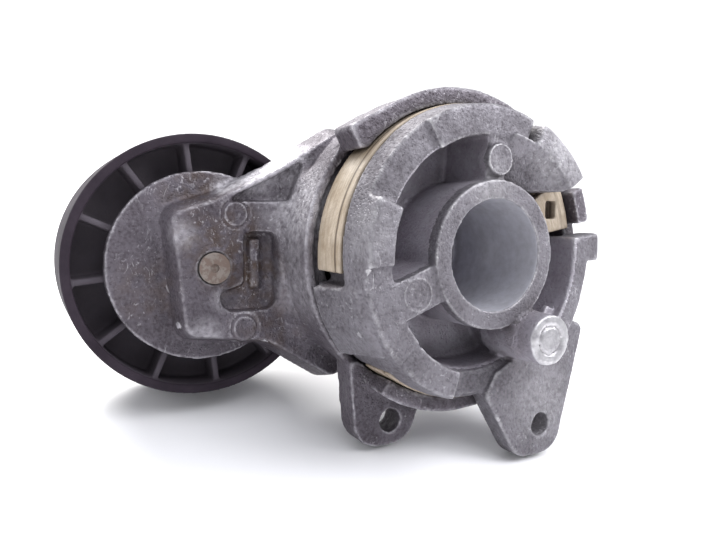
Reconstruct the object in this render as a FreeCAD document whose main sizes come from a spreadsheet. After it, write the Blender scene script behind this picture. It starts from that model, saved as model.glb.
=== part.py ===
# Automatic belt tensioner with its idler pulley, die-cast base and spring-loaded arm.
# Frame: origin on the pivot axis in the mounting face of the hub, +Y from the engine towards
# the pulley, +Z up, the pulley on the -X side. Millimetres.
# Angles in the names below are counted from +X towards +Z, as seen from the mounting side.
import FreeCAD, Part
import math
import os
import re
import Sketcher

DRIVING = {
    # pivot hub of the base
    "hubRadius": 18.6, "hubBoreRadius": 13.85, "hubBoreDepth": 34, "hubEndWall": 8,
    "hubShoulder": 24, "centreHoleRadius": 5.25, "headRecessRadius": 10.5,
    "pivotRadius": 16.5, "noseRadius": 15, "noseLipRadius": 16.2, "noseEnd": 53.5,
    # ring of the base, its floor and skirt
    "ringInner": 29.6, "ringCrest": 37, "skirtRadius": 38.2, "shoeSeat": 35,
    "ringFace": 2.5, "skirtEdge": 10, "slopeDepth": 9.5, "sideWallInner": 33.2, "sideWallOuter": 39.2,
    "lobeRadius": 41.3, "lobeFace": 4, "lobeBack": 21.4, "floorFace": 20, "floorBack": 23,
    # locating boss and drilled lug of the base
    "bossRadius": 6.5, "bossRootRadius": 6.7, "bossTip": -6.4, "bossRoot": -0.4, "bossX": 12.5, "bossZ": -21.4,
    "baseLugFace": 6, "baseLugBack": 13, "baseLugHoleRadius": 3.25, "baseLugHoleX": 22.8, "baseLugHoleZ": -48.6,
    # friction shoes
    "shoeOuter": 38.3, "shoeGap": 0.05, "shoeFace": 10.6, "shoeBack": 22.6, "keyBack": 24,
    "tabOuter": 37.2, "tabInner": 27.2,
    # arm: cup, end wall, pivot boss
    "cupBore": 38.6, "flangeRadius": 43, "flangeFace": 13.6, "rimFace": 23.5, "rimRadius": 41.3,
    "cupBoreEnd": 25, "springRoom": 35, "drumRadius": 39, "drumShoulder": 45, "armEnd": 48.5,
    "drumEndRadius": 36.5, "armBossRadius": 21.5, "armBossFace": 31, "bushSeat": 18,
    "armLugFace": 22, "armLugBack": 30, "armLugHoleRadius": 3.1, "armLugHoleX": -17, "armLugHoleZ": -45.5,
    # arm: beam and pulley seat
    "pulleyX": -59.2, "pulleyZ": -3.6, "beamFace": 40, "discFace": 48, "discBack": 51.2,
    "discRadius": 25.2, "raceSeatFace": 56, "raceShoulder": 11.5, "spigotEnd": 67, "boltHoleRadius": 4.05,
    # round marks of the ejector pins, on both castings
    "markRadius": 3.1, "topMarkX": 2, "topMarkZ": 23.6, "sideMarkX": -23.1, "sideMarkZ": -8.4,
    "upperMarkX": -53.2, "upperMarkZ": 10.2, "lowerMarkX": -51.3, "lowerMarkZ": -19.8,
    # pulley
    "pulleyRadius": 35, "pulleyFace": 49.5, "pulleyWidth": 24, "rimWall": 2.4, "pulleyHubRadius": 23.2,
    "ribInset": 1.9, "ribThickness": 1.6, "webThickness": 3,
    # deep-groove ball bearing, 17 x 40 x 12
    "bearingBore": 8.5, "bearingOuter": 20, "bearingWidth": 12, "innerLand": 11.9, "outerLand": 16.9,
    "ballRadius": 3.4, "ballCircle": 14.4, "cageHeight": 4.1,
    # torsion spring of flat wire
    "springMean": 28.5, "wireWidth": 7, "wireHeight": 4, "springPitch": 4.6, "springTurns": 3.6,
}
RIBS = 12
BALLS = 8
REACH = 60           # a length past every surface, for cutting tools
BEAM_DRAFT = 14      # degrees, on the flanks of the cast beam
RIB_START = 96       # angle of the first rib
FOOT_FALL = 17       # degrees, how steeply the foot of the ring falls away
FOOT_TURN = -33      # the way it falls
SLOPE_LEDGE = 16.1   # height of the straight ledge under the notched block

doc = FreeCAD.newDocument("BeltTensioner")
sheet = doc.addObject("Spreadsheet::Sheet", "Dims")
for row, (word, number) in enumerate(DRIVING.items(), start=1):
    sheet.set("A%d" % row, word)
    sheet.set("B%d" % row, str(number))
    sheet.setAlias("B%d" % row, word)
doc.recompute()

WORDS = re.compile(r"[A-Za-z]\w*")
NODES = []


def formula(text):
    """Every word of a formula becomes its cell of the sheet."""
    return WORDS.sub(lambda match: "Dims." + match.group(0), str(text))


def facing(turn):
    """Local Z along +Y, local X at the angle turn in the XZ plane."""
    angle = math.radians(turn)
    across = FreeCAD.Vector(math.cos(angle), 0, math.sin(angle))
    return FreeCAD.Rotation(across, FreeCAD.Vector(0, 0, 0), FreeCAD.Vector(0, 1, 0), "ZXY")


def place(item, x, y, z, turn=0):
    item.Placement = FreeCAD.Placement(FreeCAD.Vector(0, 0, 0), facing(turn))
    for axis, text in (("x", x), ("y", y), ("z", z)):
        item.setExpression("Placement.Base." + axis, formula(text))
    return item


def disc(name, radius, start, end, x="0", z="0", sector=None):
    """A round bar along Y from start to end, or the part of it between two angles."""
    first, last = sector or (0, 360)
    item = doc.addObject("Part::Cylinder", name)
    item.setExpression("Radius", formula(radius))
    item.setExpression("Height", formula("(%s) - (%s)" % (end, start)))
    item.Angle = last - first
    return place(item, x, start, z, last)


def cone(name, radius, end_radius, start, end, sector=None):
    first, last = sector or (0, 360)
    item = doc.addObject("Part::Cone", name)
    item.setExpression("Radius1", formula(radius))
    item.setExpression("Radius2", formula(end_radius))
    item.setExpression("Height", formula("(%s) - (%s)" % (end, start)))
    item.Angle = last - first
    return place(item, "0", start, "0", last)


def fuse(name, *items):
    item = doc.addObject("Part::MultiFuse", name)
    item.Shapes = list(items)
    return item


def cut(name, base, *tools):
    item = doc.addObject("Part::Cut", name)
    item.Base = base
    item.Tool = tools[0] if len(tools) == 1 else fuse(name + "Tools", *tools)
    return item


def tube(name, outer, inner, start, end, x="0", z="0", sector=None):
    body = disc(name + "Outer", outer, start, end, x, z, sector)
    hollow = disc(name + "Hollow", inner, "(%s) - 1" % start, "(%s) + 1" % end, x, z)
    return cut(name, body, hollow)


def ring(name, inner, outer, end_outer, start, end, sector):
    """A sector of a ring whose outer flank is conical."""
    body = cone(name + "Outer", outer, end_outer, start, end, sector)
    hollow = disc(name + "Hollow", inner, "(%s) - 1" % start, "(%s) + 1" % end)
    return cut(name, body, hollow)


def bar(name, length, width, start, end, turn, x="0", z="0", inset="0"):
    """A square bar that leaves the point (x, z) at an angle, starting inset along it."""
    item = doc.addObject("Part::Box", name)
    item.setExpression("Length", formula(length))
    item.setExpression("Width", formula(width))
    item.setExpression("Height", formula("(%s) - (%s)" % (end, start)))
    along = (math.cos(math.radians(turn)), math.sin(math.radians(turn)))
    shift_x = "%s + (%s) * %.9f - (%s) / 2 * %.9f" % (x, inset, along[0], width, along[1])
    shift_z = "%s + (%s) * %.9f + (%s) / 2 * %.9f" % (z, inset, along[1], width, along[0])
    return place(item, shift_x, start, shift_z, turn)


def outline(name, corners, start, end):
    """A plate along Y whose outline has the given corners (x, z, corner radius)."""
    sketch = doc.addObject("Sketcher::SketchObject", name + "Outline")
    points = [FreeCAD.Vector(x, z, 0) for x, z, _ in corners]
    tangents = []
    for index, corner in enumerate(points):
        before = (points[index - 1] - corner).normalize()
        after = (points[(index + 1) % len(points)] - corner).normalize()
        half = before.getAngle(after) / 2
        radius = corners[index][2]
        run = radius / math.tan(half)
        centre = corner + (before + after).normalize() * (radius / math.sin(half))
        tangents.append((corner + before * run, centre, corner + after * run))
    for index, (entry, centre, leave) in enumerate(tangents):
        radius = corners[index][2]
        if radius:
            middle = centre + (points[index] - centre).normalize() * radius
            sketch.addGeometry(Part.Arc(entry, middle, leave))
        sketch.addGeometry(Part.LineSegment(leave, tangents[(index + 1) % len(points)][0]))
    sketch.Placement.Rotation = FreeCAD.Rotation(FreeCAD.Vector(1, 0, 0), 90)
    sketch.setExpression("Placement.Base.y", formula(start))
    plate = doc.addObject("Part::Extrusion", name)
    plate.Base = sketch
    plate.DirMode = "Custom"
    plate.Dir = FreeCAD.Vector(0, 1, 0)
    plate.Solid = True
    plate.setExpression("LengthFwd", formula("(%s) - (%s)" % (end, start)))
    return plate


def node(item, label):
    item.Label = label
    NODES.append(item)


# ---- base: hub, ring sectors, spokes, locating boss and drilled lug ----

def slopedFoot():
    """The ring's lower left block falls away from the rough plate towards its free end."""
    block = ring("footBlock", "ringInner + 0.3", "ringCrest", "skirtRadius", "1.2", "skirtEdge", (221.5, 252))
    wedge = doc.addObject("Part::Box", "footSlope")
    wedge.Length = wedge.Width = wedge.Height = REACH
    fall = FreeCAD.Rotation(FreeCAD.Vector(0, 1, 0), FOOT_FALL)
    corner = FreeCAD.Vector(-5, -REACH / 2, -REACH)
    turned = FreeCAD.Placement(FreeCAD.Vector(-22.7, 1.2, -24.3), facing(FOOT_TURN).multiply(fall))
    wedge.Placement = turned.multiply(FreeCAD.Placement(corner, FreeCAD.Rotation()))
    return cut("foot", block, wedge)


def slopeWeb():
    """Behind the notched block the ring falls inwards as a cone, down to a straight ledge."""
    web = tube("slopeWebBlank", "ringInner + 1.5", "hubRadius - 1", "0.6", "floorBack - 1", sector=(33, 78))
    fall = cone("slopeFall", "ringInner + 1.5", "hubRadius - 1", "0.6", "slopeDepth")
    limit = doc.addObject("Part::Box", "slopeLimit")
    limit.Length = limit.Width = limit.Height = REACH
    limit.Placement.Base = FreeCAD.Vector(0, -1, SLOPE_LEDGE - REACH)
    return cut("slopeWeb", web, fall, limit)


def baseRing():
    """The ring stands proud by a different amount in each sector and is open from 6 to 33 degrees."""
    sectors = [
        ring("notchedBlock", "ringInner + 0.9", "ringCrest - 0.7", "skirtRadius", "0", "skirtEdge", (33, 64.5)),
        ring("notch", "ringInner", "ringCrest - 1.5", "skirtRadius", "5.5", "skirtEdge", (64, 67.5)),
        ring("crest", "ringInner", "ringCrest", "skirtRadius", "ringFace", "skirtEdge", (67, 121)),
        ring("lowCrest", "ringInner", "ringCrest", "skirtRadius", "ringFace + 1.3", "skirtEdge", (120.5, 158)),
        ring("ear", "ringInner", "ringCrest - 0.4", "skirtRadius", "-0.2", "skirtEdge", (157, 183)),
        ring("roughPlate", "ringInner", "ringCrest", "skirtRadius", "1.2", "skirtEdge", (182.5, 222)),
        slopedFoot(),
        ring("lowWall", "ringInner + 0.9", "shoeSeat + 1.5", "skirtRadius", "8", "skirtEdge", (250.5, 330)),
        tube("sideWall", "sideWallOuter", "sideWallInner", "5", "flangeFace - 0.6", sector=(322, 366.5)),
        tube("stopTab", "43.6", "shoeSeat + 1", "5", "12.6", sector=(355.5, 366.5)),
        tube("shoeKey", "skirtRadius", "shoeSeat - 1", "9", "keyBack", sector=(190.4, 229)),
        ring("skirtLobe", "skirtRadius - 1", "skirtRadius", "lobeRadius", "lobeFace", "lobeBack", (190.4, 218)),
        tube("seatWall", "shoeSeat", "ringInner", "skirtEdge - 1", "floorBack", sector=(33, 322)),
        tube("seatWallSide", "shoeSeat", "sideWallInner", "skirtEdge - 1", "floorBack", sector=(321.5, 366.5)),
    ]
    return sectors


def baseHousing():
    hub = disc("hub", "hubRadius", "0", "hubShoulder")
    pivot = disc("pivot", "pivotRadius", "hubShoulder - 1", "50.1")
    nose = disc("nose", "noseRadius", "50", "52.1")
    lip = disc("noseLip", "noseLipRadius", "52.1", "noseEnd")
    floor = disc("floor", "shoeSeat", "floorFace", "floorBack")
    topSpoke = bar("topSpoke", "ringInner - hubRadius + 3", "6.4", "ringFace + 0.4", "floorBack - 1", 85, inset="hubRadius - 2")
    topPad = disc("topPad", "3.9", "1.2", "6", "topMarkX", "topMarkZ")
    sideSpoke = bar("sideSpoke", "ringInner - hubRadius + 4", "9.5", "0.9", "floorBack - 1", 200, inset="hubRadius - 2")
    bossWeb = bar("bossWeb", "12", "7.5", "3.5", "floorBack - 1", 300, inset="hubRadius - 2")
    sidePad = disc("sidePad", "3.9", "0.3", "6", "sideMarkX", "sideMarkZ")
    boss = disc("boss", "bossRadius", "bossTip", "bossRoot + 1", "bossX", "bossZ")
    bossRoot = disc("bossRoot", "bossRootRadius", "bossRoot", "baseLugBack", "bossX", "bossZ")
    lug = outline("baseLug", [(39.2, -21.4, 3), (29.0, -57.1, 7.4), (14.2, -57.1, 7), (2.6, -37.6, 2),
                              (6, -32, 1), (22, -24, 1), (31, -19, 1)], "baseLugFace", "baseLugBack")
    solid = fuse("baseSolid", hub, pivot, nose, lip, floor, topSpoke, topPad, sideSpoke, bossWeb, boss,
                 sidePad, bossRoot, slopeWeb(), lug, *baseRing())
    bossGroove = tube("bossGroove", "3.9", "3.4", "bossTip - 1", "bossTip + 0.5", "bossX", "bossZ")
    bore = disc("hubBore", "hubBoreRadius", "-1", "hubBoreDepth")
    centreHole = disc("centreHole", "centreHoleRadius", "-1", "noseEnd + 1")
    headRecess = disc("headRecess", "headRecessRadius", "hubBoreDepth + hubEndWall", "noseEnd + 1")
    lugHole = disc("baseLugHole", "baseLugHoleRadius", "0", "baseLugBack + 1", "baseLugHoleX", "baseLugHoleZ")
    topMark = disc("topMark", "markRadius", "0", "1.6", "topMarkX", "topMarkZ")
    sideMark = disc("sideMark", "markRadius", "0", "0.7", "sideMarkX", "sideMarkZ")
    node(cut("baseHousing", solid, bore, centreHole, headRecess, lugHole, bossGroove, topMark, sideMark), "base_housing")


# ---- friction shoes: two nylon half rings between the base and the arm ----

def frictionShoes():
    inner = "shoeSeat + shoeGap"
    arc = tube("upperShoeArc", "shoeOuter", inner, "shoeFace", "shoeBack", sector=(31, 185.6))
    tabArc = tube("upperShoeTabArc", "tabOuter", inner, "shoeFace", "shoeBack", sector=(9.5, 31.5))
    tab = tube("upperShoeTab", "shoeSeat + 1", "tabInner", "shoeFace + 0.4", "shoeFace + 3.4", sector=(9.5, 31.5))
    slot = bar("tabSlot", "3.8", "5", "shoeFace - 1", "shoeFace + 5", 0, x="27.8", z="11.4")
    node(cut("upperShoe", fuse("upperShoeSolid", arc, tabArc, tab), slot), "upper_friction_shoe")
    wide = tube("lowerShoeWide", "shoeOuter", inner, "shoeFace", "shoeBack", sector=(229.6, 272))
    narrow = tube("lowerShoeNarrow", "shoeOuter", inner, "flangeFace", "shoeBack", sector=(271, 353))
    node(fuse("lowerShoe", wide, narrow), "lower_friction_shoe")


# ---- torsion spring: flat wire wound about the pivot boss ----

def torsionSpring():
    helix = doc.addObject("Part::Helix", "springHelix")
    helix.setExpression("Pitch", formula("springPitch"))
    helix.setExpression("Height", formula("springPitch * springTurns"))
    helix.setExpression("Radius", formula("springMean"))
    place(helix, "0", "floorBack + 0.2 + wireHeight / 2", "0")
    wire = doc.addObject("Part::Plane", "springWire")
    wire.setExpression("Length", formula("wireWidth"))
    wire.setExpression("Width", formula("wireHeight"))
    wire.setExpression("Placement.Base.x", formula("springMean - wireWidth / 2"))
    wire.setExpression("Placement.Base.y", formula("floorBack + 0.2"))
    sweep = doc.addObject("Part::Sweep", "springSweep")
    sweep.Sections = [wire]
    sweep.Spine = (helix, [])
    sweep.Solid = True
    sweep.Frenet = True
    node(sweep, "torsion_spring")


# ---- arm: cup, beam, pulley seat and drilled lug ----

def armCup():
    tall = (235, 498)
    cup = [
        cone("flange", "flangeRadius", "rimRadius + 0.9", "flangeFace", "rimFace", tall),
        cone("drum", "rimRadius", "drumRadius", "rimFace", "drumShoulder"),
        cone("drumEnd", "drumRadius", "drumEndRadius", "drumShoulder", "armEnd"),
        cone("flangeRoot", "rimRadius + 0.9", "drumRadius + 1", "rimFace", "rimFace + 9", tall),
        outline("flangeCorner", [(-20.2, 38.0, 0), (-33.8, 30.9, 1.2), (-30.5, 25.5, 0.5), (-16, 32, 0)],
                "flangeFace", "rimFace"),
        tube("stopBlock", "42.8", "cupBore", "8", "flangeFace + 1", sector=(11, 25)),
    ]
    hollows = [
        disc("shoeTrack", "cupBore", "0", "cupBoreEnd"),
        disc("springRoomHollow", "springRoom", "0", "drumShoulder"),
    ]
    return cup, hollows


def tensionArm():
    cup, hollows = armCup()
    beam = outline("beam", [(-69.2, 10.4, 3), (-57.7, 14.0, 6), (-41.6, 21.8, 20), (-21, 34.4, 4), (-10, 20, 1),
                            (-10, -20, 1), (-24.5, -37.2, 4), (-45.0, -23.8, 10), (-66.4, -20.8, 4)],
                   "beamFace", "armEnd")
    beam.TaperAngle = BEAM_DRAFT
    plate = disc("seatDisc", "discRadius", "discFace", "discBack", "pulleyX", "pulleyZ")
    shoulder = disc("raceShoulderDisc", "raceShoulder", "discFace", "raceSeatFace", "pulleyX", "pulleyZ")
    spigot = disc("spigot", "bearingBore - 0.02", "discFace", "spigotEnd", "pulleyX", "pulleyZ")
    ringPad = disc("boltPad", "4.9", "beamFace - 0.6", "beamFace + 1", "pulleyX", "pulleyZ")
    lug = outline("armLug", [(-29.5, -28, 1), (-27.6, -52.1, 7.8), (-11.0, -52.1, 7.2), (-5, -36, 1), (-14, -28, 1)],
                  "armLugFace", "armLugBack")
    upperPad = disc("upperPad", "3.9", "beamFace - 0.6", "beamFace + 1", "upperMarkX", "upperMarkZ")
    lowerPad = disc("lowerPad", "3.9", "beamFace - 0.6", "beamFace + 1", "lowerMarkX", "lowerMarkZ")
    cupSolid = cut("cupShell", fuse("cupSolid", beam, lug, *cup), *hollows)
    pivotBoss = disc("pivotBoss", "armBossRadius", "armBossFace", "armEnd")
    body = fuse("armSolid", cupSolid, plate, shoulder, spigot, ringPad, upperPad, lowerPad, pivotBoss)
    pocket = outline("pocket", [(-57.5, -15.2, 3.5), (-42.4, -15.2, 3), (-42.4, 5.5, 2), (-51, 5.5, 2),
                                (-51, -8.5, 1), (-57.5, -10, 1.5)], "beamFace - 1", "beamFace + 3")
    pocketBar = bar("pocketBar", "3", "13", "beamFace + 0.6", "beamFace + 3.5", 0, x="-49.4", z="-3")
    hollow = cut("pocketTool", pocket, pocketBar)
    corner = outline("cornerRecess", [(-56.2, 13.6, 0.3), (-38.2, 13.6, 0.5), (-33.6, 25, 0.5), (-42, 20.2, 8)],
                     "beamFace - 1", "beamFace + 2.4")
    bore = disc("bushBore", "bushSeat", "armBossFace - 1", "armEnd + 1")
    boltHole = disc("pulleyBoltHole", "boltHoleRadius", "beamFace - 2", "spigotEnd + 1", "pulleyX", "pulleyZ")
    lugHole = disc("armLugHole", "armLugHoleRadius", "armLugFace - 9", "armLugBack + 1", "armLugHoleX", "armLugHoleZ")
    lowMark = disc("lowerMark", "markRadius", "beamFace - 1", "beamFace - 0.1", "lowerMarkX", "lowerMarkZ")
    highMark = disc("upperMark", "markRadius", "beamFace - 1", "beamFace - 0.1", "upperMarkX", "upperMarkZ")
    node(cut("tensionArm", body, hollow, corner, bore, boltHole, lugHole, lowMark, highMark), "tension_arm")


# ---- pivot: two bushes in the arm, thrust washer and retaining plate on the hub's nose ----

def pivotParts():
    clear = "pivotRadius + 0.05"
    node(tube("rearBush", "bushSeat", clear, "armBossFace", "armBossFace + 7.5"), "rear_pivot_bush")
    node(tube("frontBush", "bushSeat", clear, "armEnd - 8", "armEnd - 0.2"), "front_pivot_bush")
    node(tube("thrustWasher", "22.3", clear, "armEnd + 0.1", "50.05"), "thrust_washer")
    node(tube("retainingPlate", "22.3", "noseRadius", "50.1", "52.1"), "retaining_plate")


# ---- pulley with its ribs, bolt, dust cap and bearing ----

def pulley():
    end = "pulleyFace + pulleyWidth"
    middle = "pulleyFace + pulleyWidth / 2"
    centre = {"x": "pulleyX", "z": "pulleyZ"}
    rim = tube("pulleyRim", "pulleyRadius", "pulleyRadius - rimWall", "pulleyFace", end, **centre)
    web = tube("pulleyWeb", "pulleyRadius - 1", "bearingOuter", middle + " - webThickness / 2",
               middle + " + webThickness / 2", **centre)
    sleeve = tube("pulleySleeve", "pulleyHubRadius", "bearingOuter", "raceSeatFace - 1.2",
                  "raceSeatFace + bearingWidth + 1.2", **centre)
    ribs = []
    for index in range(RIBS):
        turn = RIB_START + index * 360 / RIBS
        ribs.append(bar("pulleyRib%d" % index, "pulleyRadius - 1 - pulleyHubRadius + 0.8", "ribThickness",
                        "pulleyFace + ribInset", end + " - ribInset", turn, inset="pulleyHubRadius - 0.8", **centre))
    node(fuse("pulleyBody", rim, web, sleeve, *ribs), "pulley")


def pulleyBolt():
    head = "raceSeatFace + bearingWidth + 1.3"
    centre = {"x": "pulleyX", "z": "pulleyZ"}
    shank = disc("boltShank", "boltHoleRadius - 0.05", "beamFace - 1.2", head + " + 1", **centre)
    flange = disc("boltFlange", "8", head, head + " + 1.5", **centre)
    hexagon = doc.addObject("Part::Prism", "boltHexagon")
    hexagon.Polygon = 6
    hexagon.Circumradius = 7.5
    hexagon.Height = 6.5
    place(hexagon, "pulleyX", head, "pulleyZ")
    dimple = disc("boltDimple", "1.1", "beamFace - 2", "beamFace - 0.6", **centre)
    node(cut("pulleyBolt", fuse("boltSolid", shank, flange, hexagon), dimple), "pulley_bolt")
    cap = disc("dustCapDisc", "16.2", head + " - 1.25", head + " - 0.05", **centre)
    capLip = tube("dustCapLip", "16.2", "15.2", head + " - 0.6", head + " + 1.4", **centre)
    capHole = disc("dustCapHole", "boltHoleRadius + 0.15", head + " - 2", head + " + 2", **centre)
    node(cut("dustCap", fuse("dustCapSolid", cap, capLip), capHole), "dust_cap")


def bearing():
    start = "raceSeatFace"
    end = "raceSeatFace + bearingWidth"
    middle = "raceSeatFace + bearingWidth / 2"
    centre = {"x": "pulleyX", "z": "pulleyZ"}

    def groove(name):
        track = doc.addObject("Part::Torus", name)
        track.setExpression("Radius1", formula("ballCircle"))
        track.setExpression("Radius2", formula("ballRadius + 0.05"))
        return place(track, "pulleyX", middle, "pulleyZ")

    inner = tube("innerRaceBlank", "innerLand", "bearingBore", start, end, **centre)
    node(cut("innerRace", inner, groove("innerTrack")), "bearing_inner_race")
    outer = tube("outerRaceBlank", "bearingOuter", "outerLand", start, end, **centre)
    node(cut("outerRace", outer, groove("outerTrack")), "bearing_outer_race")

    def around(name, radius):
        balls = []
        for index in range(BALLS):
            angle = math.radians(90 + index * 360 / BALLS)
            ball = doc.addObject("Part::Sphere", "%s%d" % (name, index))
            ball.setExpression("Radius", formula(radius))
            place(ball, "pulleyX + ballCircle * %.9f" % math.cos(angle), middle,
                  "pulleyZ + ballCircle * %.9f" % math.sin(angle))
            balls.append(ball)
        return balls

    node(fuse("balls", *around("ball", "ballRadius")), "bearing_balls")

    def rivets(name, radius):
        pins = []
        for index in range(BALLS):
            angle = math.radians(90 + (index + 0.5) * 360 / BALLS)
            pins.append(disc("%s%d" % (name, index), radius, middle + " - cageHeight", middle + " + cageHeight",
                             "pulleyX + ballCircle * %.9f" % math.cos(angle),
                             "pulleyZ + ballCircle * %.9f" % math.sin(angle)))
        return pins

    for name, from_face, to_face, label in (("rearCage", middle + " - cageHeight", middle, "cage_rear_half"),
                                            ("frontCage", middle, middle + " + cageHeight", "cage_front_half")):
        blank = tube(name + "Blank", "ballCircle + 1.3", "ballCircle - 1.3", from_face, to_face, **centre)
        pockets = around(name + "Pocket", "ballRadius + 0.1")
        holes = rivets(name + "RivetHole", "0.65")
        node(cut(name, blank, *pockets, *holes), label)
    node(fuse("cageRivets", *rivets("cageRivet", "0.6")), "cage_rivets")
    for name, face, label in (("rearSeal", start + " + 0.4", "rear_bearing_seal"),
                              ("frontSeal", end + " - 1.2", "front_bearing_seal")):
        node(tube(name, "outerLand", "innerLand + 0.15", face, face + " + 0.8", **centre), label)


baseHousing()
frictionShoes()
torsionSpring()
tensionArm()
pivotParts()
pulley()
pulleyBolt()
bearing()
doc.recompute()

failed = [item.Name for item in doc.Objects if "Invalid" in item.State or "Error" in item.State]
if failed:
    raise SystemExit("failed objects: " + ", ".join(failed))
for item in NODES:
    shape = item.Shape
    if shape.isNull() or not shape.isValid() or not shape.Solids:
        raise SystemExit("bad shape: " + item.Label)

os.makedirs("parts", exist_ok=True)
for item in NODES:
    item.Shape.exportStep("parts/%s.step" % item.Label)
    print("%-22s solids %d volume %.0f" % (item.Label, len(item.Shape.Solids), item.Shape.Volume))
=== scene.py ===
import bpy
import math
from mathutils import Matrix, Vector


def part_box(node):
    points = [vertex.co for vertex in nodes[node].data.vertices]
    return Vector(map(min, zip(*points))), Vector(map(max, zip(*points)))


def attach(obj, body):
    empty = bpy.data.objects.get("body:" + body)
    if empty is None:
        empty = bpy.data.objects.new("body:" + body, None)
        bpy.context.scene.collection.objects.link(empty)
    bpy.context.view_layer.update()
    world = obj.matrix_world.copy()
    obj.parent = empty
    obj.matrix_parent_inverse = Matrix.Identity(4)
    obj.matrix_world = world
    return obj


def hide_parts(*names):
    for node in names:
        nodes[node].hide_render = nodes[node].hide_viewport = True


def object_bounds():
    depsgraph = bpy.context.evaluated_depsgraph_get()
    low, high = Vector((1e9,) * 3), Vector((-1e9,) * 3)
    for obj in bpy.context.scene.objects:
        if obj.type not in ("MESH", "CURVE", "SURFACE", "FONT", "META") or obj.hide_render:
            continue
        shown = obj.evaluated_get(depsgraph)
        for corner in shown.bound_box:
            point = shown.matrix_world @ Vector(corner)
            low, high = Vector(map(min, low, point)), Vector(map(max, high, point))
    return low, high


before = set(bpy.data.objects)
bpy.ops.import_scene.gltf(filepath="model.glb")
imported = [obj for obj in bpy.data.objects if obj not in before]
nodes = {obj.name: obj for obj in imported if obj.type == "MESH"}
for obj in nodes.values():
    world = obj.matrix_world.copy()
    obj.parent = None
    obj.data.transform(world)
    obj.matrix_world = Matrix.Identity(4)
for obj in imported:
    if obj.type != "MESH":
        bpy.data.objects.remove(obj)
cadLow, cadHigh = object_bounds()
print("frame loaded:", len(nodes), "CAD nodes")

mm = 0.001


# selecting and changing a piece, as by hand

meshValues = {
    "weld": 0.002 * mm, "cloudDepth": 2, "smoothing": 0.5, "leastWeight": 0.02,
    "markReach": 1.5 * mm,  # a pressed mark is looked for this far in front of and behind its centre
}


def clearSelection():
    if bpy.context.object and bpy.context.object.mode != "OBJECT":
        bpy.ops.object.mode_set(mode="OBJECT")
    bpy.ops.object.select_all(action="DESELECT")


def makeActive(piece):
    clearSelection()
    piece.select_set(True)
    bpy.context.view_layer.objects.active = piece


def useModifier(piece, kind, **settings):
    makeActive(piece)
    modifier = piece.modifiers.new(kind.title(), kind)
    for word, value in settings.items():
        setattr(modifier, word, value)
    bpy.ops.object.modifier_apply(modifier=modifier.name)


def copyOf(nodeName, pieceName):
    piece = bpy.data.objects.new(pieceName, nodes[nodeName].data.copy())
    bpy.context.collection.objects.link(piece)
    piece.data.materials.clear()
    makeActive(piece)
    bpy.ops.mesh.customdata_custom_splitnormals_clear()
    bpy.ops.object.mode_set(mode="EDIT")
    bpy.ops.mesh.select_all(action="SELECT")
    bpy.ops.mesh.remove_doubles(threshold=meshValues["weld"])
    bpy.ops.object.mode_set(mode="OBJECT")
    return piece


def triangles(piece):
    return sum(len(face.vertices) - 2 for face in piece.data.polygons)


def roughen(piece, size, height):
    cloud = bpy.data.textures.new(piece.name + "Cloud", "CLOUDS")
    cloud.noise_scale = size
    cloud.noise_depth = meshValues["cloudDepth"]
    useModifier(piece, "DISPLACE", texture=cloud, texture_coords="LOCAL", strength=height, mid_level=0.5)


def soften(piece, values):
    # even small faces first, so that every edge of a casting or moulding comes out round
    useModifier(piece, "REMESH", mode="VOXEL", voxel_size=values["voxel"], use_smooth_shade=True)
    useModifier(piece, "SMOOTH", factor=meshValues["smoothing"], iterations=values["rounding"])


def giveSkin(piece, values):
    for size, height in values["unevenness"]:
        roughen(piece, size, height)
    print(piece.name, "has", triangles(piece), "triangles before it is thinned")
    useModifier(piece, "DECIMATE", ratio=min(1.0, values["triangles"] / triangles(piece)))
    piece.vertex_groups.clear()
    bpy.ops.object.shade_smooth()


def weighPoints(piece, name, weightAt):
    # a vertex group whose weights come from the place of each point
    zone = piece.vertex_groups.new(name=name)
    for point in piece.data.vertices:
        weight = weightAt(point.co)
        if weight > meshValues["leastWeight"]:
            zone.add([point.index], min(1.0, weight), "REPLACE")
    return zone.name


def meltZone(piece, name, weightAt, steps):
    # a deep inside corner fills up to a fillet, an outside edge wears round
    zone = weighPoints(piece, name, weightAt)
    useModifier(piece, "SMOOTH", factor=meshValues["smoothing"], iterations=steps, vertex_group=zone)


def roundHollow(piece, acrossOf, width, height):
    # points in an inside corner move out to an elliptical fillet
    # acrossOf gives a point's distances from both walls, both directions out of the corner, and a fade
    for point in piece.data.vertices:
        found = acrossOf(point.co)
        if not found:
            continue
        first, second, outward, along, fade = found
        u, v = 1 - first / width, 1 - second / height
        reach = math.hypot(u, v)
        if u < 0 or v < 0 or reach < 1:
            continue
        point.co += outward * ((u - u / reach) * width * -fade) + along * ((v - v / reach) * height * -fade)


def pressCircle(piece, name, centre, radius, depth, halfWidth):
    # the round witness line that an ejector pin leaves in a casting
    def weightAt(point):
        if abs(point.y - centre[1]) > meshValues["markReach"]:
            return 0
        away = math.hypot(point.x - centre[0], point.z - centre[2]) - radius
        return 1 - abs(away) / halfWidth

    zone = weighPoints(piece, name, weightAt)
    useModifier(piece, "DISPLACE", strength=-depth, mid_level=0, vertex_group=zone)


def paintFaces(piece, materials, choose):
    # choose gives the place of a face's material in the list
    for material in materials:
        piece.data.materials.append(material)
    for face in piece.data.polygons:
        face.material_index = choose(face.center, face.normal)


def finishPiece(piece, body, slotName, *replaced):
    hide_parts(*replaced)
    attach(piece, body)
    print("made", piece.name, "with", triangles(piece), "triangles")


# shader nodes

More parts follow.
